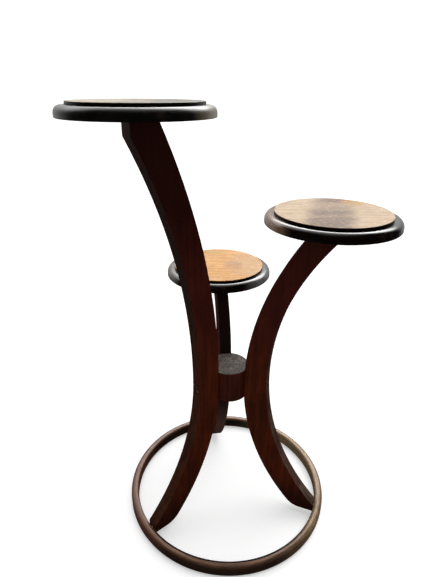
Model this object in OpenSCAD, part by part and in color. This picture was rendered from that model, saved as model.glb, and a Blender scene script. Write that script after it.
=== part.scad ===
// Three-tier plant stand: three bowed board legs round a turned hub, each leg carrying a round
// tray at its top and butting against a bentwood hoop at its foot.
// Origin: on the floor, under the middle of the whole stand's bounding box. +Z is up.
// The low leg points along +Y, the tall leg to -X and the middle leg to +X.

/* [Hoop] */
// Inner radius of the hoop, where the feet butt against it
hoop_inner_r = 237.5; // [195:0.5:285]
// Radial width of the hoop's section
hoop_w = 19; // [17:0.5:28]
// Height of the hoop's section
hoop_h = 32; // [26:0.5:40]
// Corner radius on the hoop's inner side
hoop_inner_round = 5; // [1:0.5:6]
// Corner radius on the hoop's outer side
hoop_outer_round = 10; // [4:0.5:11]

/* [Hub] */
// Diameter of the turned hub
hub_d = 92; // [75:1:112]
// Height of the hub
hub_h = 79; // [60:1:95]
// Height of the hub's underside above the floor
hub_z = 323; // [290:1:335]

/* [Legs] */
// Thickness of the leg boards
leg_t = 28.5; // [22:0.5:34]
// Radial width of a leg where it is narrowest, beside the hub
leg_w = 54; // [45:0.5:65]
// Depth that a leg's inner edge is planed back to sit flat on the hub
seat_cut = 1.2; // [0.5:0.1:2.5]
// Height at which the inner edge is nearest to the hub's axis
bow_in_z = 363; // [350:1:375]
// Height at which the outer edge is nearest to the hub's axis
bow_out_z = 384; // [375:1:400]
// Height of the feet's underside above the floor
foot_z = 20; // [12:0.5:20]
// Length of a foot's underside before its inner corner is rounded
foot_len = 54; // [40:0.5:60]
// Height at which the outer edge meets the hoop
foot_out_z = 38.5; // [34:0.5:60]
// Rounding radius of a foot's inner corner
toe_r = 47; // [10:1:60]

/* [Tall tier] */
// Height of the tall tray's top face
tall_z = 987; // [820:1:1190]
// Distance of the tall tray's centre from the hub's axis
tall_reach = 209.5; // [180:0.5:245]
// How far the inner corner of the tall leg's top lies inside its tray's centre
tall_in = 30; // [26:0.5:40]
// How far outside its tray's centre the tall leg's outer edge reaches its full height
tall_out = 39.5; // [30:0.5:45]
// Where the tall leg's top is cut off upright, measured out from its tray's centre
tall_trim = 23.5; // [14:0.5:30]

/* [Middle tier] */
// Height of the middle tray's top face
middle_z = 793; // [720:1:870]
// Distance of the middle tray's centre from the hub's axis
middle_reach = 202; // [185:0.5:230]
// How far the inner corner of the middle leg's top lies inside its tray's centre
middle_in = 19; // [15:0.5:30]
// How far outside its tray's centre the middle leg's outer edge reaches its full height
middle_out = 48.5; // [40:0.5:60]
// Where the middle leg's top is cut off upright, measured out from its tray's centre
middle_trim = 30; // [12:0.5:38]

/* [Low tier] */
// Height of the low tray's top face
low_z = 596; // [580:1:650]
// Distance of the low tray's centre from the hub's axis
low_reach = 162; // [155:0.5:180]
// How far the inner corner of the low leg's top lies inside its tray's centre
low_in = 31; // [28:0.5:42]
// How far outside its tray's centre the low leg's outer edge reaches its full height
low_out = 45; // [35:0.5:48]
// Where the low leg's top is cut off upright, measured out from its tray's centre
low_trim = 21.5; // [14:0.5:30]

/* [Trays] */
// Diameter over a tray's edge
tray_d = 260; // [240:1:312]
// Thickness of a tray
tray_t = 19; // [16:0.5:24]
// Rounding radius of a tray's upper edge
tray_top_round = 12; // [6:0.5:12]
// Rounding radius of a tray's lower edge
tray_bottom_round = 1.5; // [0.5:0.5:3]
// Diameter of the raised panel
panel_d = 223.5; // [190:0.5:230]
// Thickness of the raised panel
panel_t = 5.5; // [4:0.5:9]

/* [Fixings] */
// Shank diameter of the hub screws
hub_screw_d = 5; // [4:0.5:6]
// Head diameter of the hub screws
hub_screw_head_d = 10; // [9:0.5:11]
// Depth that a hub screw bites into the hub
hub_screw_bite = 26; // [18:1:30]
// Diameter of the open counterbore round a hub screw's head
counterbore_d = 12; // [11.5:0.5:14]
// Depth of that counterbore
counterbore_depth = 4.5; // [4:0.5:16]
// Shank diameter of the tray screws
tray_screw_d = 4.5; // [4:0.5:5]
// Head diameter of the tray screws
tray_screw_head_d = 9; // [8:0.5:10]
// Depth that a tray screw bites into the leg's end grain
tray_screw_bite = 26; // [18:1:30]
// Distance of the tray screws from the two ends of the leg's top
tray_screw_margin = 10; // [7:0.5:11]
// Diameter of the foot dowels
dowel_d = 6; // [5:0.5:7]
// Depth of a dowel in the hoop
dowel_hoop_depth = 12; // [8:0.5:14]
// Depth of a dowel in the foot
dowel_foot_depth = 30; // [20:1:40]

/* [Clearances] */
// Gap between a foot's curved end and the hoop
foot_gap = 0.3; // [0.1:0.05:0.6]
// Radial gap round a screw's shank
shank_gap = 0.1; // [0.05:0.05:0.3]
// Radial gap round a dowel
dowel_gap = 0.1; // [0.05:0.05:0.2]

/* [Hidden] */
$fn = 96;

// Directions of the three legs round the hub's axis
tall_dir = 210;
middle_dir = 330;
low_dir = 90;

hoop_outer_r = hoop_inner_r + hoop_w;
hub_r = hub_d / 2;
hub_mid_z = hub_z + hub_h / 2;
tray_r = tray_d / 2;

// The hub's flats are just as wide as the leg boards
seat_r = sqrt(pow(hub_r, 2) - pow(leg_t / 2, 2));
bow_in_r = seat_r - seat_cut;
bow_out_r = seat_r + leg_w;

// A tray's underside is where its leg ends
tray_drop = tray_t + panel_t;

// Size of a tray screw's countersunk head, and of the slots in the screw heads
tray_screw_head_h = (tray_screw_head_d - tray_screw_d) / 2;
hub_screw_head_h = 3.2;
hub_screw_dome_r = 0.75 * hub_screw_head_d;
slot_w = 1.2;
slot_depth = 1.4;
screw_tip_d = 0.6;

// The dowels lie half-way between the feet's underside and the hoop's top
dowel_z = (foot_z + hoop_h) / 2;
dowel_chamfer = 1;

// Middle of the stand's bounding box, measured from the hub's axis
side_ratio = cos(30);
front_ratio = sin(30);
box_left = max(hoop_outer_r, tall_reach * side_ratio + tray_r);
box_right = max(hoop_outer_r, middle_reach * side_ratio + tray_r);
box_front = max(hoop_outer_r, max(tall_reach, middle_reach) * front_ratio + tray_r);
box_back = max(hoop_outer_r, low_reach + tray_r);
box_mid_x = (box_right - box_left) / 2;
box_mid_y = (box_back - box_front) / 2;

// Longer than any leg is tall or wide, for cutting shapes
far = 2000;

wood_dark = [0.17, 0.07, 0.04];
wood_hoop = [0.40, 0.27, 0.20];
edge_dark = [0.07, 0.05, 0.045];
panel_gold = [0.55, 0.33, 0.16];
steel = [0.55, 0.54, 0.52];
beech = [0.78, 0.62, 0.42];

// Radius of the arc that leaves the vertical and moves aside by run over a height of rise
function arc_r(run, rise) = (pow(run, 2) + pow(rise, 2)) / (2 * run);

// Radii of the legs' lower edges, between the bow and the foot
low_in_r = arc_r(hoop_inner_r - foot_len - bow_in_r, bow_in_z - foot_z);
low_out_r = arc_r(hoop_inner_r - bow_out_r, bow_out_z - foot_out_z);

// Moves from the hub's axis to the origin
module on_axis() {
    translate([-box_mid_x, -box_mid_y, 0]) children();
}

// Places children along one leg's direction
module facing(direction) {
    on_axis() rotate([0, 0, direction]) children();
}

// Stands a flat outline, drawn as distance from the axis and height, up as a board
module board(thickness) {
    rotate([90, 0, 0]) linear_extrude(height = thickness, center = true) children();
}

// An edge's whole circle, whose side next to the axis is at near_x
module edge_circle(r, near_x, z) {
    translate([near_x + r, z]) circle(r = r, $fn = 360);
}

// Region between the arcs of the inner and the outer edge, from one height to another
module band(in_r, out_r, z_from, z_to) {
    difference() {
        intersection() {
            edge_circle(in_r, bow_in_r, bow_in_z);
            translate([0, z_from]) square([2 * hoop_outer_r, z_to - z_from]);
        }
        edge_circle(out_r, bow_out_r, bow_out_z);
    }
}

// The corner between a foot's underside and its inner edge, outside its rounding circle
module toe_corner() {
    toe_z = foot_z + toe_r;
    centre_drop = bow_in_z - toe_z;
    toe_x = bow_in_r + low_in_r - sqrt(pow(low_in_r - toe_r, 2) - pow(centre_drop, 2));
    tangent_z = bow_in_z - centre_drop * low_in_r / (low_in_r - toe_r);
    difference() {
        translate([bow_in_r, foot_z - 1]) square([toe_x - bow_in_r, tangent_z - foot_z + 1]);
        translate([toe_x, toe_z]) circle(r = toe_r);
    }
}

// A leg's whole outline in its upright plane
module leg_outline(top_z, reach, in_gap, out_gap, trim) {
    in_r = arc_r(reach - in_gap - bow_in_r, top_z - bow_in_z);
    out_r = arc_r(reach + out_gap - bow_out_r, top_z - bow_out_z);
    difference() {
        union() {
            // Above the hub
            intersection() {
                band(in_r, out_r, bow_out_z, top_z);
                square([reach + trim, far]);
            }
            // Between the two bow heights the outer edge already follows its lower arc
            band(in_r, low_out_r, bow_in_z, bow_out_z);
            // Below the hub, down to the foot
            difference() {
                band(low_in_r, low_out_r, foot_z, bow_in_z);
                toe_corner();
            }
        }
        // Planed flat where it sits on the hub
        translate([0, -1]) square([seat_r, far]);
    }
}

module leg(direction, top_z, reach, in_gap, out_gap, trim) {
    color(wood_dark)
    facing(direction)
    difference() {
        intersection() {
            board(leg_t) leg_outline(top_z, reach, in_gap, out_gap, trim);
            cylinder(r = hoop_inner_r - foot_gap, h = far, $fn = 360);
        }
        hub_screw_bores();
        foot_dowel_bore(dowel_foot_depth);
        tray_screw_places(top_z, reach - in_gap, reach + trim) tray_screw_bore();
    }
}

// Pilot hole, and the open counterbore in the leg's outer edge
module hub_screw_bores() {
    translate([seat_r - hub_screw_bite - 1, 0, hub_mid_z])
    rotate([0, 90, 0]) {
        cylinder(d = hub_screw_d + 2 * shank_gap, h = leg_w + hub_screw_bite + 1);
        translate([0, 0, hub_screw_bite + 1 + leg_w - counterbore_depth])
            cylinder(d = counterbore_d, h = leg_w);
    }
}

module foot_dowel_bore(foot_depth) {
    translate([hoop_inner_r - foot_depth - 1, 0, dowel_z])
    rotate([0, 90, 0])
        cylinder(d = dowel_d + 2 * dowel_gap, h = foot_depth + dowel_hoop_depth + 2);
}

// The two screws stand one behind the other, near the inner and the outer end of the leg's top
module tray_screw_places(top_z, inner_x, outer_x) {
    for (x = [inner_x + tray_screw_margin, outer_x - tray_screw_margin])
        translate([x, 0, top_z]) children();
}

// The hole of a tray screw in leg and tray, from the leg's top end at z = 0
module tray_screw_bore() {
    bore_d = tray_screw_d + 2 * shank_gap;
    translate([0, 0, -tray_screw_bite - 1]) cylinder(d = bore_d, h = tray_screw_bite + 1 + tray_t);
    // The countersink runs on past the tray's top face
    cone_h = tray_screw_head_h + 1;
    translate([0, 0, tray_t - tray_screw_head_h])
        cylinder(d1 = bore_d, d2 = bore_d + 2 * cone_h, h = cone_h);
}

module base_hoop() {
    color(wood_hoop)
    difference() {
        on_axis() rotate_extrude($fn = 360) hoop_section();
        for (direction = [tall_dir, middle_dir, low_dir])
            facing(direction) foot_dowel_bore(0);
    }
}

// Flat inner face for the feet, rounder outside
module hoop_section() {
    inner_x = hoop_inner_r + hoop_inner_round;
    outer_x = hoop_outer_r - hoop_outer_round;
    translate([inner_x, 0]) square([outer_x - inner_x, hoop_h]);
    translate([hoop_inner_r, hoop_inner_round])
        square([hoop_inner_round, hoop_h - 2 * hoop_inner_round]);
    translate([outer_x, hoop_outer_round])
        square([hoop_outer_round, hoop_h - 2 * hoop_outer_round]);
    for (z = [hoop_inner_round, hoop_h - hoop_inner_round])
        translate([inner_x, z]) circle(r = hoop_inner_round);
    // Outer quarter circles only: the whole circles would reach past the inner face
    intersection() {
        for (z = [hoop_outer_round, hoop_h - hoop_outer_round])
            translate([outer_x, z]) circle(r = hoop_outer_round);
        translate([outer_x, 0]) square([hoop_outer_round, hoop_h]);
    }
}

// Turned cylinder with three upright flats for the legs
module hub() {
    color(wood_dark)
    difference() {
        on_axis() translate([0, 0, hub_z]) cylinder(r = hub_r, h = hub_h, $fn = 180);
        for (direction = [tall_dir, middle_dir, low_dir])
            facing(direction) {
                translate([seat_r, -hub_r, hub_z - 1]) cube([hub_r, hub_d, hub_h + 2]);
                hub_screw_bores();
            }
    }
}

// Round-head wood screw with its head at the bottom of the counterbore
module hub_screw(direction) {
    head_x = seat_r + leg_w - counterbore_depth;
    tip_x = seat_r - hub_screw_bite;
    point_l = hub_screw_d;
    color(steel)
    facing(direction)
    translate([head_x, 0, hub_mid_z])
    rotate([0, 90, 0])
    difference() {
        union() {
            intersection() {
                cylinder(d = hub_screw_head_d, h = hub_screw_head_h);
                translate([0, 0, hub_screw_head_h - hub_screw_dome_r]) sphere(r = hub_screw_dome_r);
            }
            translate([0, 0, tip_x + point_l - head_x])
                cylinder(d = hub_screw_d, h = head_x - tip_x - point_l);
            translate([0, 0, tip_x - head_x])
                cylinder(d1 = screw_tip_d, d2 = hub_screw_d, h = point_l);
        }
        translate([-slot_w / 2, -hub_screw_head_d, hub_screw_head_h - slot_depth])
            cube([slot_w, 2 * hub_screw_head_d, slot_depth + 1]);
    }
}

// Fluted length left out: a plain dowel with chamfered ends
module foot_dowel(direction) {
    dowel_l = dowel_foot_depth + dowel_hoop_depth;
    color(beech)
    facing(direction)
    translate([hoop_inner_r - dowel_foot_depth, 0, dowel_z])
    rotate([0, 90, 0]) {
        cylinder(d1 = dowel_d - 2 * dowel_chamfer, d2 = dowel_d, h = dowel_chamfer);
        translate([0, 0, dowel_chamfer]) cylinder(d = dowel_d, h = dowel_l - 2 * dowel_chamfer);
        translate([0, 0, dowel_l - dowel_chamfer])
            cylinder(d1 = dowel_d, d2 = dowel_d - 2 * dowel_chamfer, h = dowel_chamfer);
    }
}

// Half of a tray's section: well rounded above, only eased below
module tray_section() {
    top_x = tray_r - tray_top_round;
    bottom_x = tray_r - tray_bottom_round;
    top_round_z = tray_t - tray_top_round;
    square([top_x, tray_t]);
    square([bottom_x, top_round_z]);
    translate([0, tray_bottom_round]) square([tray_r, top_round_z - tray_bottom_round]);
    translate([bottom_x, tray_bottom_round]) circle(r = tray_bottom_round);
    intersection() {
        translate([top_x, top_round_z]) circle(r = tray_top_round);
        translate([top_x, top_round_z]) square(tray_top_round);
    }
}

// Disc drilled for its two screws
module tray(direction, top_z, reach, in_gap, trim) {
    color(edge_dark)
    facing(direction)
    difference() {
        translate([reach, 0, top_z]) rotate_extrude($fn = 180) tray_section();
        tray_screw_places(top_z, reach - in_gap, reach + trim) tray_screw_bore();
    }
}

// Countersunk wood screws down through a tray into its leg
module tray_screws(direction, top_z, reach, in_gap, trim) {
    point_l = tray_screw_d;
    head_z = tray_t - tray_screw_head_h;
    color(steel)
    facing(direction)
    tray_screw_places(top_z, reach - in_gap, reach + trim)
    difference() {
        union() {
            translate([0, 0, head_z])
                cylinder(d1 = tray_screw_d, d2 = tray_screw_head_d, h = tray_screw_head_h);
            translate([0, 0, point_l - tray_screw_bite])
                cylinder(d = tray_screw_d, h = head_z + tray_screw_bite - point_l);
            translate([0, 0, -tray_screw_bite])
                cylinder(d1 = screw_tip_d, d2 = tray_screw_d, h = point_l);
        }
        translate([-slot_w / 2, -tray_screw_head_d, tray_t - slot_depth])
            cube([slot_w, 2 * tray_screw_head_d, slot_depth + 1]);
    }
}

// Raised veneered panel that covers the screw heads
module tray_panel(direction, top_z, reach) {
    color(panel_gold)
    facing(direction)
    translate([reach, 0, top_z + tray_t])
        cylinder(d = panel_d, h = panel_t, $fn = 180);
}

base_hoop();
hub();

leg(tall_dir, tall_z - tray_drop, tall_reach, tall_in, tall_out, tall_trim);  // leg_tall
leg(middle_dir, middle_z - tray_drop, middle_reach, middle_in, middle_out, middle_trim);  // leg_middle
leg(low_dir, low_z - tray_drop, low_reach, low_in, low_out, low_trim);  // leg_low

hub_screw(tall_dir);  // hub_screw_tall
hub_screw(middle_dir);  // hub_screw_middle
hub_screw(low_dir);  // hub_screw_low

foot_dowel(tall_dir);  // foot_dowel_tall
foot_dowel(middle_dir);  // foot_dowel_middle
foot_dowel(low_dir);  // foot_dowel_low

tray(tall_dir, tall_z - tray_drop, tall_reach, tall_in, tall_trim);  // tray_tall
tray(middle_dir, middle_z - tray_drop, middle_reach, middle_in, middle_trim);  // tray_middle
tray(low_dir, low_z - tray_drop, low_reach, low_in, low_trim);  // tray_low

tray_screws(tall_dir, tall_z - tray_drop, tall_reach, tall_in, tall_trim);  // tray_screws_tall
tray_screws(middle_dir, middle_z - tray_drop, middle_reach, middle_in, middle_trim);  // tray_screws_middle
tray_screws(low_dir, low_z - tray_drop, low_reach, low_in, low_trim);  // tray_screws_low

tray_panel(tall_dir, tall_z - tray_drop, tall_reach);  // tray_panel_tall
tray_panel(middle_dir, middle_z - tray_drop, middle_reach);  // tray_panel_middle
tray_panel(low_dir, low_z - tray_drop, low_reach);  // tray_panel_low
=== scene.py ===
import math

import bpy
from mathutils import Euler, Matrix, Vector


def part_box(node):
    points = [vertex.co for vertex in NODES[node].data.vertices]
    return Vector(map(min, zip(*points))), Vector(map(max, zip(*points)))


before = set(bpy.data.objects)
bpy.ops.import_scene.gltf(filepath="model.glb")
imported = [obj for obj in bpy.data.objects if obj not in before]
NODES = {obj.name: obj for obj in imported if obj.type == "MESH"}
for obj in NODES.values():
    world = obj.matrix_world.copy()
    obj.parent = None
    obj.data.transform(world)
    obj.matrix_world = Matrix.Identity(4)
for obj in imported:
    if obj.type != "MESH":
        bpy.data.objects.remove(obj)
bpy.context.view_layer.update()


# Each leg's direction from the hub's axis; its tray and panel have the same key
DIRECTION = {"tall": math.radians(210), "middle": math.radians(330), "low": math.radians(90)}


def under(node):
    """The point on the floor under the middle of a node's box."""
    low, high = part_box(node)
    point = (low + high) / 2
    point.z = 0
    return point


# The hoop lies round the hub's axis
AXIS = under("base_hoop")


# ---------------------------------------------------------------- node helpers

class Graph:
    """Short ways to add nodes to one node tree."""

    def __init__(self, tree):
        self.tree = tree
        self.tree.nodes.clear()

    def set(self, socket, value):
        """Links value into the socket if it is an output, and else sets the socket to it."""
        if isinstance(value, bpy.types.NodeSocket):
            self.tree.links.new(value, socket)
        else:
            socket.default_value = value

    def add(self, kind, inputs=(), **settings):
        """A new node; inputs has its sockets' names or numbers and what goes into them."""
        node = self.tree.nodes.new(kind)
        for key, value in settings.items():
            setattr(node, key, value)
        for key, value in dict(inputs).items():
            self.set(node.inputs[key], value)
        return node

    def math(self, operation, *values):
        return self.add("ShaderNodeMath", enumerate(values), operation=operation).outputs[0]

    def squares(self, a, b):
        """The sum of the squares of a and b."""
        return self.math("ADD", self.math("MULTIPLY", a, a), self.math("MULTIPLY", b, b))

    def split(self, vector):
        return self.add("ShaderNodeSeparateXYZ", {"Vector": vector}).outputs

    def noise(self, vector, scale=1.0, detail=3.0, roughness=0.5, distortion=0.0):
        return self.add("ShaderNodeTexNoise", {
            "Vector": vector, "Scale": scale, "Detail": detail,
            "Roughness": roughness, "Distortion": distortion}).outputs["Fac"]

    def ramp(self, value, low, high, to_low=0.0, to_high=1.0):
        """Goes smoothly from to_low at low to to_high at high; low may be the larger."""
        return self.add("ShaderNodeMapRange", {
            "Value": value, "From Min": low, "From Max": high,
            "To Min": to_low, "To Max": to_high},
            interpolation_type="SMOOTHSTEP").outputs["Result"]

    def mix(self, factor, a, b):
        """Colour a where factor is 0, colour b where it is 1."""
        node = self.add("ShaderNodeMix", data_type="RGBA")
        for socket, value in zip((0, 6, 7), (factor, a, b)):
            self.set(node.inputs[socket], value)
        return node.outputs[2]

    def bump(self, height, strength, distance):
        return self.add("ShaderNodeBump", {
            "Height": height, "Strength": strength, "Distance": distance}).outputs["Normal"]


class Surface(Graph):
    """The node tree of one new material."""

    def __init__(self, name):
        self.material = bpy.data.materials.new(name)
        self.material.use_nodes = True
        super().__init__(self.material.node_tree)
        self.shader = self.add("ShaderNodeBsdfPrincipled")
        self.add("ShaderNodeOutputMaterial", {"Surface": self.shader.outputs[0]})
        self.place = self.add("ShaderNodeTexCoord").outputs["Object"]

    def turned(self, vector, angle):
        """The vector turned by -angle round Z."""
        return self.add("ShaderNodeVectorRotate", {"Vector": vector, "Angle": -angle},
                        rotation_type="Z_AXIS").outputs[0]

    def local(self, angle, origin, scale=(1, 1, 1)):
        """The place on the part, seen from origin and along angle, then scaled."""
        moved = self.add("ShaderNodeVectorMath", {0: self.place, 1: origin},
                         operation="SUBTRACT").outputs[0]
        return self.add("ShaderNodeVectorMath", {0: self.turned(moved, angle), 1: scale},
                        operation="MULTIPLY").outputs[0]

    def finish(self, **inputs):
        """Sets the shader's inputs, named with _ for each space, and gives the material."""
        for key, value in inputs.items():
            self.set(self.shader.inputs[key.replace("_", " ")], value)
        return self.material


def srgb(r, g, b):
    """A display colour from 0 to 255, in linear light."""
    def linear(v):
        v /= 255
        return v / 12.92 if v <= 0.04045 else ((v + 0.055) / 1.055) ** 2.4
    return (linear(r), linear(g), linear(b), 1.0)


# ---------------------------------------------------------------- materials
# A noise's scale is in cycles a metre, given for each direction of the wood.

# Heights between which a leg's look changes, in metres above the floor
FACE_REDDENS = (0.4, 0.58)
# FACE_BLACKENS: painted shade, the faces near black under the trays
FACE_BLACKENS = (0.6, 0.84)
# EDGE_BLACKENS: painted shade, the edges darker under the trays
EDGE_BLACKENS = (0.42, 0.7)
# INNER_PALES: painted light and shade, the inner faces paler low down and darker high up
INNER_PALES = (0.28, 0.1)
FOOT_BLACKENS = (0.12, 0.04)


def leg_wood(name, angle, edge):
    """Dark red-brown stain; edge is the colour of the board's sawn edges, greyer with a
    painted sheen.
    """
    g = Surface(name)
    facing = g.turned(g.add("ShaderNodeNewGeometry").outputs["Normal"], angle)
    outward, sideways, _ = g.split(facing)
    on_edge = g.ramp(g.math("ABSOLUTE", sideways), 0.35, 0.8, 1, 0)
    on_inner = g.ramp(outward, -0.35, -0.8)
    height = g.split(g.place)["Z"]
    clouds = g.noise(g.local(angle, AXIS, (26, 26, 9)), 1.0, 3, 0.6)
    grain = g.noise(g.local(angle, AXIS, (95, 95, 2.6)), 1.0, 4, 0.65, 0.5)
    pores = g.noise(g.local(angle, AXIS, (520, 520, 14)), 1.0, 3, 0.7)

    colour = g.mix(g.ramp(grain, 0.32, 0.68), srgb(88, 30, 4), srgb(62, 21, 3))
    colour = g.mix(g.ramp(clouds, 0.4, 0.6, 0, 0.5), colour, srgb(44, 15, 4))
    colour = g.mix(g.ramp(height, *FACE_REDDENS, 0, 0.65), colour, srgb(54, 11, 9))
    # Painted shade: the faces turn near black under the trays
    colour = g.mix(g.ramp(height, *FACE_BLACKENS, 0, 0.7), colour, srgb(24, 3, 1))
    colour = g.mix(g.ramp(height, *FOOT_BLACKENS, 0, 0.65), colour, srgb(26, 15, 9))

    # The edge colour is the sawn edges' own colour with a painted sheen in its grey
    edge_colour = g.mix(g.ramp(clouds, 0.4, 0.65, 0, 0.7), edge, srgb(72, 28, 10))
    edge_colour = g.mix(g.ramp(grain, 0.4, 0.65, 0, 0.6), edge_colour, srgb(26, 14, 9))
    # Painted shade: the edges darker under the trays
    edge_colour = g.mix(g.ramp(height, *EDGE_BLACKENS, 0, 0.8), edge_colour, srgb(38, 26, 23))
    # Painted light and shade: the inner faces paler low down, darker high up
    inner_colour = g.mix(g.ramp(height, *INNER_PALES), srgb(34, 19, 17), srgb(84, 58, 46))
    edge_colour = g.mix(on_inner, edge_colour, inner_colour)

    colour = g.mix(on_edge, colour, edge_colour)
    colour = g.mix(g.ramp(pores, 0.54, 0.74, 0, 0.55), colour, srgb(14, 4, 2))
    rough = g.ramp(pores, 0.3, 0.8, 0.4, 0.55)
    normal = g.bump(g.math("ADD", pores, grain), 0.25, 0.0005)
    return g.finish(Base_Color=colour, Roughness=rough, Normal=normal, Specular_IOR_Level=0.07)


def hub_wood():
    """The legs' stain on the side, and a mottled grey top that is a painted reflection."""
    g = Surface("hub_wood")
    top_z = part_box("hub")[1].z
    grain = g.noise(g.local(0, AXIS, (80, 80, 4)), 1.0, 4, 0.6, 0.5)
    mottle = g.noise(g.place, 210, 4, 0.7)
    clouds = g.noise(g.place, 55, 3, 0.6)
    on_top = g.ramp(g.split(g.place)["Z"], top_z - 0.0016, top_z - 0.0004)
    side = g.mix(g.ramp(grain, 0.3, 0.7), srgb(72, 20, 3), srgb(44, 11, 2))
    # Painted reflection: the top is painted mottled grey where the gloss shows light
    painted_top_sheen = g.mix(g.ramp(mottle, 0.35, 0.65), srgb(60, 52, 47), srgb(138, 130, 124))
    painted_top_sheen = g.mix(g.ramp(clouds, 0.4, 0.65, 0, 0.5), painted_top_sheen, srgb(78, 66, 57))
    colour = g.mix(on_top, side, painted_top_sheen)
    rough = g.ramp(on_top, 0, 1, 0.42, 0.6)
    normal = g.bump(g.math("ADD", mottle, grain), 0.35, 0.0008)
    return g.finish(Base_Color=colour, Roughness=rough, Normal=normal, Specular_IOR_Level=0.2)


TRAY_RADIUS = 0.13
# How far out the brown, lighter places on the rim begin and are full, as parts of the radius;
# they are partly wear and partly painted reflection
RUBBED_AND_LIT = (0.7, 0.97)


def tray_wood(name, angle, centre, smooth, rough, worn_and_lit):
    """
    Near black gloss, with a roughness from smooth to rough. It is painted lighter on the rim
    in the directions that worn_and_lit has, each with its colour: partly wear, partly painted
    reflection.
    """
    g = Surface(name)
    grain = g.noise(g.local(angle, centre, (6, 90, 60)), 1.0, 4, 0.6, 0.3)
    smear = g.noise(g.place, 22, 3, 0.6)
    colour = g.mix(g.ramp(grain, 0.35, 0.7), srgb(5, 3, 2), srgb(16, 8, 4))
    colour = g.mix(g.ramp(smear, 0.5, 0.7, 0, 0.6), colour, srgb(44, 24, 13))
    x, y, _ = g.split(g.local(0, centre))
    # Partly wear and partly painted reflection: the rim painted lighter towards each direction
    for towards, shade in worn_and_lit:
        reach = g.math("MULTIPLY_ADD", x, math.cos(towards) / TRAY_RADIUS,
                       g.math("MULTIPLY", y, math.sin(towards) / TRAY_RADIUS))
        rubbed_and_lit = g.math("MULTIPLY", g.ramp(reach, *RUBBED_AND_LIT), g.ramp(grain, 0.2, 0.7, 1, 0.6))
        colour = g.mix(rubbed_and_lit, colour, shade)
    roughness = g.ramp(smear, 0.3, 0.7, smooth, rough)
    normal = g.bump(g.math("ADD", grain, smear), 0.12, 0.0006)
    return g.finish(Base_Color=colour, Roughness=roughness, Normal=normal,
                    Specular_IOR_Level=0.5)


def panel_oak(name, angle, centre, top_z, light, dark, deep, way, patches):
    """
    Lacquered fine oak in light and dark, with deep pores and a nearly black side.
    Each soft patch has its place to the right of the direction way and along it from the
    centre, its half sizes that way, its colour and its strength.
    """
    g = Surface(name)
    broad = g.noise(g.local(angle, centre, (7, 26, 26)), 1.0, 3, 0.55)
    grain = g.noise(g.local(angle, centre, (16, 210, 210)), 1.0, 5, 0.65, 0.5)
    flecks = g.noise(g.local(angle, centre, (90, 430, 430)), 1.0, 2, 0.6)
    pores = g.noise(g.local(angle, centre, (44, 330, 330)), 1.0, 3, 0.7)
    colour = g.mix(g.ramp(grain, 0.34, 0.66), light, dark)
    along, to_left, _ = g.split(g.local(way, centre))
    for right, ahead, half_right, half_ahead, shade, strength in patches:
        sideways = g.math("MULTIPLY_ADD", to_left, -1 / half_right, -right / half_right)
        forward = g.math("MULTIPLY_ADD", along, 1 / half_ahead, -ahead / half_ahead)
        ragged = g.math("MULTIPLY_ADD", g.math("ADD", broad, grain), 1.3, -1.3)
        reach = g.math("ADD", g.squares(sideways, forward), ragged)
        colour = g.mix(g.ramp(reach, 0.1, 1.1, strength, 0), colour, shade)
    colour = g.mix(g.ramp(broad, 0.45, 0.7, 0, 0.4), colour, dark)
    colour = g.mix(g.ramp(pores, 0.56, 0.7, 0, 0.6), colour, deep)
    colour = g.mix(g.ramp(flecks, 0.54, 0.7, 0, 0.4), colour, srgb(238, 216, 180))
    on_top = g.ramp(g.split(g.place)["Z"], top_z - 0.0006, top_z - 0.0003)
    colour = g.mix(on_top, srgb(10, 6, 5), colour)
    rough = g.ramp(grain, 0.3, 0.7, 0.34, 0.48)
    normal = g.bump(g.math("ADD", pores, grain), 0.2, 0.0003)
    return g.finish(Base_Color=colour, Roughness=rough, Normal=normal, Specular_IOR_Level=0.1,
                    Coat_Weight=0.14, Coat_Roughness=0.18)


# Where the hoop's look changes, in metres: heights, radii from its axis, then X and Y there
CROWN_HEIGHT = (0.025, 0.0317)
INNER_RADIUS = (0.2455, 0.243)
OUTER_RADIUS = (0.2472, 0.2525)
RIGHT_X = (0.06, 0.2)
LEFT_X = (-0.16, -0.235)
FRONT_Y = (-0.06, -0.15)


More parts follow.
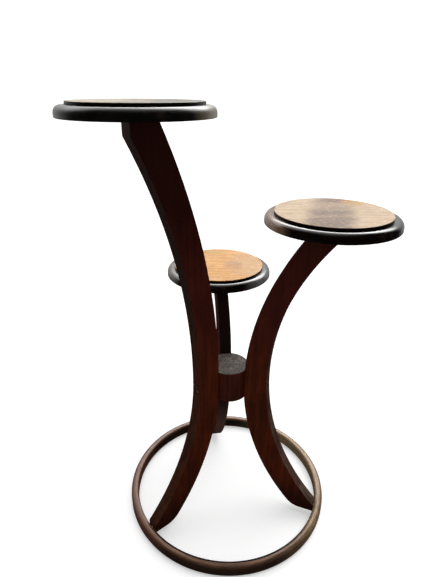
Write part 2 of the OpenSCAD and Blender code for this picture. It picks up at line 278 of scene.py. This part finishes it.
def hoop_wood():
    """Bent wood with its grain along the ring, lighter on the crown: partly wear, partly
    painted light.
    """
    g = Surface("hoop_wood")
    x, y, z = g.split(g.local(0, AXIS))
    angle = g.math("ARCTAN2", y, x)
    radius = g.math("SQRT", g.squares(x, y))

    def along(round_ring, through):
        """Coordinates that follow the ring, in cycles a radian and cycles a metre."""
        return g.add("ShaderNodeCombineXYZ", {
            "X": g.math("MULTIPLY", angle, round_ring),
            "Y": g.math("MULTIPLY", radius, through),
            "Z": g.math("MULTIPLY", z, through)}).outputs[0]

    grain = g.noise(along(2.2, 160), 1.0, 4, 0.6, 0.4)
    pores = g.noise(along(11, 430), 1.0, 3, 0.7)
    speckle = g.noise(g.place, 420, 3, 0.7)
    clouds = g.noise(along(2.5, 8), 1.0, 2, 0.5)
    # Lit and shaded copies of the wood: the crown painted lighter and the sides below painted
    # darker, painted light and shade with some wear
    low = g.mix(g.ramp(grain, 0.3, 0.7), srgb(48, 28, 16), srgb(26, 14, 8))
    worn_and_lit = g.mix(g.ramp(grain, 0.3, 0.7), srgb(136, 100, 78), srgb(86, 58, 41))
    colour = g.mix(g.ramp(z, *CROWN_HEIGHT), low, worn_and_lit)
    # Painted shade: a dark line along the inner edge at the front, where the roughness is
    # raised too
    inner_edge = g.math("MULTIPLY", g.ramp(radius, *INNER_RADIUS), g.ramp(y, *FRONT_Y))
    colour = g.mix(inner_edge, colour, srgb(16, 9, 6))
    # Painted shade: the outer shoulder darker
    colour = g.mix(g.ramp(radius, *OUTER_RADIUS, 0, 0.65), colour, srgb(46, 29, 20))
    to_right = g.math("MULTIPLY", g.ramp(x, *RIGHT_X), g.ramp(speckle, 0.4, 0.62, 0.35, 0.9))
    colour = g.mix(to_right, colour, srgb(150, 126, 92))
    to_left = g.math("MULTIPLY", g.ramp(x, *LEFT_X), 0.7)
    colour = g.mix(to_left, colour, srgb(98, 60, 42))
    colour = g.mix(g.ramp(clouds, 0.45, 0.65, 0, 0.35), colour, srgb(44, 24, 14))
    colour = g.mix(g.ramp(pores, 0.5, 0.68, 0, 0.6), colour, srgb(30, 17, 10))
    rough = g.math("MAXIMUM", g.ramp(pores, 0.3, 0.8, 0.26, 0.42),
                   g.math("MULTIPLY", inner_edge, 0.9))
    normal = g.bump(g.math("ADD", pores, speckle), 0.3, 0.0005)
    return g.finish(Base_Color=colour, Roughness=rough, Normal=normal, Specular_IOR_Level=0.3)


def steel(name, bright, dull, metallic):
    """Tarnished metal, from bright to dull."""
    g = Surface(name)
    tarnish = g.noise(g.place, 500, 4, 0.65)
    colour = g.mix(g.ramp(tarnish, 0.35, 0.7), bright, dull)
    rough = g.ramp(tarnish, 0.3, 0.7, 0.3, 0.5)
    return g.finish(Base_Color=colour, Roughness=rough, Normal=g.bump(tarnish, 0.15, 0.0002),
                    Metallic=metallic)


def dowel_beech(name, angle):
    """Bare beech with its grain along the dowel."""
    g = Surface(name)
    grain = g.noise(g.local(angle, AXIS, (20, 900, 900)), 1.0, 3, 0.6)
    colour = g.mix(g.ramp(grain, 0.3, 0.7), srgb(216, 186, 142), srgb(186, 150, 104))
    return g.finish(Base_Color=colour, Roughness=0.6, Normal=g.bump(grain, 0.2, 0.0003))


# ---------------------------------------------------------------- each tier's own look

PANEL = {
    "tall": {
        "light": srgb(128, 116, 94), "dark": srgb(102, 91, 72), "deep": srgb(78, 56, 38),
        "way": math.radians(80), "patches": [
            # The tall panel's dark right part and pale left part are painted reflection
            (0.08, 0.0, 0.07, 0.2, srgb(26, 19, 13), 1.0),
            (-0.07, 0.0, 0.07, 0.2, srgb(168, 158, 136), 0.8)]},
    "middle": {
        "light": srgb(194, 170, 140), "dark": srgb(164, 138, 108), "deep": srgb(98, 68, 46),
        "way": math.radians(66), "patches": [
            (-0.002, -0.012, 0.053, 0.22, srgb(70, 42, 24), 0.88),
            (0.012, 0.098, 0.028, 0.036, srgb(96, 54, 22), 0.7),
            (0.036, 0.084, 0.028, 0.03, srgb(160, 116, 34), 0.8)]},
    "low": {
        "light": srgb(214, 160, 84), "dark": srgb(182, 126, 60), "deep": srgb(104, 60, 30),
        "way": math.radians(84), "patches": [
            (0.09, 0.0, 0.075, 0.12, srgb(190, 152, 112), 0.75),
            (0.035, -0.02, 0.03, 0.05, srgb(152, 106, 72), 0.5),
            (-0.02, 0.09, 0.06, 0.03, srgb(172, 138, 74), 0.6)]},
}
# Each tray's roughness, and the directions and colours of its rim's lighter places, partly
# wear and partly painted reflection
TRAY = {
    "tall": {"smooth": 0.28, "rough": 0.38, "worn_and_lit": [
        (math.radians(-9), srgb(116, 106, 84)), (math.radians(171), srgb(84, 78, 68))]},
    "middle": {"smooth": 0.12, "rough": 0.2, "worn_and_lit": [
        (math.radians(171), srgb(146, 116, 92))]},
    "low": {"smooth": 0.13, "rough": 0.22, "worn_and_lit": [
        (math.radians(171), srgb(120, 110, 100)), (math.radians(-30), srgb(104, 102, 102))]},
}
# The direction of the grain of each tray and its panel, in radians
GRAIN = {"tall": 0.1, "middle": -0.1, "low": -0.17}
# Each leg's edge colour, greyer with a painted sheen; the middle leg's is the palest
LEG_EDGE_AND_SHEEN = {"tall": srgb(60, 34, 19), "middle": srgb(82, 67, 58), "low": srgb(56, 30, 20)}


def wear(node, material):
    """Gives a node one material."""
    data = NODES[node].data
    data.materials.clear()
    data.materials.append(material)


bright_steel = steel("plated_steel", srgb(172, 168, 158), srgb(120, 112, 98), 1.0)
brown_steel = steel("browned_steel", srgb(168, 136, 88), srgb(112, 84, 52), 0.3)
wear("base_hoop", hoop_wood())
wear("hub", hub_wood())
for tier, direction in DIRECTION.items():
    centre = under("tray_" + tier)
    panel_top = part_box("tray_panel_" + tier)[1].z
    wear("leg_" + tier, leg_wood("leg_wood_" + tier, direction, LEG_EDGE_AND_SHEEN[tier]))
    wear("tray_" + tier, tray_wood("tray_wood_" + tier, GRAIN[tier], centre, **TRAY[tier]))
    wear("tray_panel_" + tier,
         panel_oak("panel_oak_" + tier, GRAIN[tier], centre, panel_top, **PANEL[tier]))
    wear("hub_screw_" + tier, brown_steel)
    wear("tray_screws_" + tier, bright_steel)
    wear("foot_dowel_" + tier, dowel_beech("dowel_beech_" + tier, direction))


# ---------------------------------------------------------------- eased edges

def ease_edges(node, width):
    """Rounds a node's sharp corners a little, as sanding does."""
    modifiers = NODES[node].modifiers
    weld = modifiers.new("weld", "WELD")
    weld.merge_threshold = 0.000002
    bevel = modifiers.new("ease", "BEVEL")
    bevel.width = width
    bevel.segments = 3
    bevel.limit_method = "ANGLE"
    bevel.angle_limit = math.radians(50)
    bevel.use_clamp_overlap = False
    modifiers.new("normals", "WEIGHTED_NORMAL").keep_sharp = False


BOARD_EASE = 0.0012
PANEL_EASE = 0.0008
for tier in DIRECTION:
    ease_edges("leg_" + tier, BOARD_EASE)
    ease_edges("tray_panel_" + tier, PANEL_EASE)
ease_edges("hub", BOARD_EASE)


# ---------------------------------------------------------------- studio

WHITE = (1, 1, 1, 1)
FILL_LIGHT = 0.42
LAMP_TOWARDS = (0.22, 0.20, 0.95)
LAMP_STRENGTH = 2.3
LAMP_SPREAD = math.radians(60)


def studio_world():
    """
    Plain fill light, white for the camera. Gloss sees a wide bright window behind the stand
    instead, with a dim wall round it and a dark room elsewhere.
    """
    world = bpy.data.worlds.new("studio")
    bpy.context.scene.world = world
    world.use_nodes = True
    g = Graph(world.node_tree)
    x, y, z = g.split(g.add("ShaderNodeTexCoord").outputs["Generated"])
    azimuth = g.math("ARCTAN2", x, y)
    rise = g.math("ARCSINE", z)

    def turn(low, high, to_low=0.0, to_high=1.0, of=azimuth):
        """A ramp over angles in degrees."""
        return g.ramp(of, math.radians(low), math.radians(high), to_low, to_high)

    behind = g.math("MULTIPLY", turn(-80, -54), turn(58, 80, 1, 0))
    wall = g.math("ADD", turn(-26, -4, 0, 0.6, of=rise), turn(6, 24, 0, 0.6, of=rise))
    strength = g.math("SUBTRACT", turn(-20, 14, 2.2, 12.0), turn(34, 70, 0, 6.0))
    pane = g.math("ADD", turn(42, 54, 0.72, 0, of=rise), turn(60, 74, 0.28, 0, of=rise))
    window = g.math("MULTIPLY", strength, g.math("MULTIPLY", turn(21, 36, of=rise), pane))
    room = g.math("ADD", 0.015, turn(52, 84, 0, 0.5, of=rise))
    seen_in_gloss = g.math("MULTIPLY_ADD", behind, g.math("ADD", wall, window), room)

    def glow(strength):
        return g.add("ShaderNodeBackground",
                     {"Color": WHITE, "Strength": strength}).outputs[0]

    path = g.add("ShaderNodeLightPath").outputs
    lit = g.add("ShaderNodeMixShader", {
        0: path["Is Glossy Ray"], 1: glow(FILL_LIGHT), 2: glow(seen_in_gloss)}).outputs[0]
    seen = g.math("MAXIMUM", path["Is Camera Ray"], path["Is Transmission Ray"])
    both = g.add("ShaderNodeMixShader", {0: seen, 1: lit, 2: glow(1.0)}).outputs[0]
    g.add("ShaderNodeOutputWorld", {"Surface": both})


def overhead_lamp():
    """One soft lamp, left out of the gloss."""
    light = bpy.data.lights.new("overhead", "SUN")
    light.energy = LAMP_STRENGTH
    light.angle = LAMP_SPREAD
    lamp = bpy.data.objects.new("overhead", light)
    bpy.context.scene.collection.objects.link(lamp)
    lamp.rotation_euler = Vector(LAMP_TOWARDS).to_track_quat("Z", "Y").to_euler()
    lamp.visible_glossy = False


FLOOR_REACH = 60
FLOOR_DROP = 0.0005
FLOOR_GREY = 0.75
# What the camera sees on top of the lit grey, so that the open floor is white
FLOOR_GLOW = 0.42


def white_floor():
    """A plain floor that shows white and keeps the stand's shadow."""
    mesh = bpy.data.meshes.new("floor")
    mesh.from_pydata([(-FLOOR_REACH, -FLOOR_REACH, 0), (FLOOR_REACH, -FLOOR_REACH, 0),
                      (FLOOR_REACH, FLOOR_REACH, 0), (-FLOOR_REACH, FLOOR_REACH, 0)],
                     [], [(0, 1, 2, 3)])
    floor = bpy.data.objects.new("floor", mesh)
    bpy.context.scene.collection.objects.link(floor)
    floor.location.z = -FLOOR_DROP
    floor.visible_glossy = False
    g = Surface("floor_white")
    for_camera = g.add("ShaderNodeLightPath").outputs["Is Camera Ray"]
    mesh.materials.append(g.finish(
        Base_Color=(FLOOR_GREY, FLOOR_GREY, FLOOR_GREY, 1), Roughness=1.0,
        Specular_IOR_Level=0.0, Emission_Color=WHITE,
        Emission_Strength=g.math("MULTIPLY", for_camera, FLOOR_GLOW)))
    return floor


studio_world()
white_floor()
overhead_lamp()

# ---------------------------------------------------------------- the photograph's view

CAMERA_PLACE = (-0.176905, -0.912663, 1.008745)
CAMERA_DEGREES = (65.77475, -0.41204, -9.21414)
LENS_MM = 28.0762
SENSOR_MM = 36

lens = bpy.data.cameras.new("camera")
lens.sensor_fit = "VERTICAL"
lens.sensor_height = SENSOR_MM
lens.lens = LENS_MM
lens.clip_start = 0.01
camera = bpy.data.objects.new("camera", lens)
camera.location = CAMERA_PLACE
camera.rotation_euler = Euler([math.radians(a) for a in CAMERA_DEGREES])
bpy.context.scene.collection.objects.link(camera)
bpy.context.scene.camera = camera

bpy.context.scene.view_settings.view_transform = "Standard"
